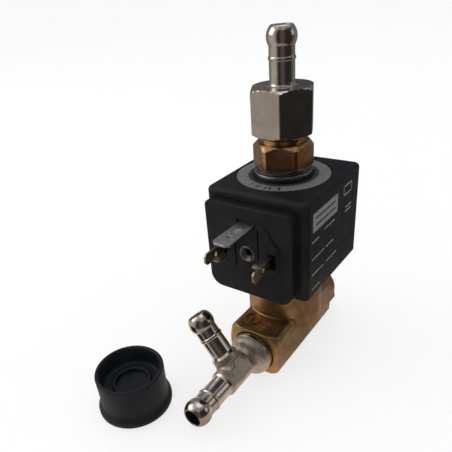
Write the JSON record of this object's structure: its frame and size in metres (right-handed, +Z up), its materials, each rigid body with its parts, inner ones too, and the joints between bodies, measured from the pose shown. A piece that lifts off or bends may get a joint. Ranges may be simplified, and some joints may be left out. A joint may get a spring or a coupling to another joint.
{
  "type": "solenoid valve",
  "caption": "Direct-acting solenoid valve: brass body, black swivelling coil with blade connector, exhaust hose tail on top, tee hose fitting on the inlet, and a loose rubber cap.",
  "frame": {"origin": "centre of the body's underside, on the armature axis", "axes": "+Z up along the armature axis; -Y towards the inlet, the tee and the coil's connector; +Y towards the outlet port"},
  "size_m": [0.0601, 0.1014, 0.1152],
  "materials": {
    "brass": "forged brass, satin, lightly tarnished",
    "brass_dull": "turned brass, satin",
    "nut_brass": "turned brass bar, satin with bright chamfers",
    "steel": "turned stainless steel",
    "core_steel": "turned magnetic stainless steel",
    "washer_steel": "polished steel",
    "washer_dark": "dark phosphated steel",
    "frame_steel": "pressed steel",
    "spring_steel": "drawn stainless wire",
    "bush_steel": "zinc-plated steel, dull",
    "nickel": "nickel-plated, polished tubes and satin hexagon",
    "nickel_forged": "nickel-plated forging, polished tubes and matt hub",
    "tinned_blade": "tin-plated, slightly grainy",
    "brass_blade": "stamped, lightly tinned brass",
    "copper": "enamelled copper",
    "coil_plastic": "moulded, fine satin grain",
    "bobbin_plastic": "moulded natural nylon",
    "label_foil": "printed metallised foil",
    "plate_foil": "printed metallised foil",
    "elastomer": "moulded",
    "cap_rubber": "moulded, soft sheen"
  },
  "bodies": {
    "valve": {"valve_body": "brass", "seat_insert": "steel", "armature_tube": "brass_dull", "spigot_o_ring": "elastomer", "lower_coil_seal": "elastomer", "upper_coil_seal": "elastomer", "fixed_core": "core_steel", "shading_ring": "copper", "flat_washer": "washer_steel", "spring_washer": "washer_dark", "coil_nut": "nut_brass", "adapter_seal": "elastomer", "exhaust_adapter": "nickel", "tee_seal": "elastomer", "tee_fitting": "nickel_forged"},
    "plunger": {"plunger": "core_steel", "inlet_seal": "elastomer", "exhaust_seal": "elastomer", "return_spring": "spring_steel"},
    "coil": {"coil_housing": "coil_plastic", "bobbin": "bobbin_plastic", "winding": "copper", "flux_frame": "frame_steel", "ring_label": "label_foil", "side_plate": "plate_foil", "connector_plinth": "coil_plastic", "screw_bush": "bush_steel", "earth_blade": "tinned_blade", "live_blades": "brass_blade"},
    "cap": {"protective_cap": "cap_rubber"}
  },
  "joints": [
    {"name": "plunger_stroke", "type": "slide", "parent": "valve", "child": "plunger", "axis": [0, 0, 1], "range_m": [0, 0.0012], "stiffness_N_per_m": 1200, "springref_m": -0.004, "deforming": ["return_spring"]},
    {"name": "coil_swivel", "type": "hinge", "parent": "valve", "child": "coil", "pos_m": [0, 0, 0.0521], "axis": [0, 0, 1], "continuous": true},
    {"name": "cap_lift", "type": "slide", "parent": "valve", "child": "cap", "axis": [0, 0, 1], "range_m": [0, 0.06]}
  ]
}
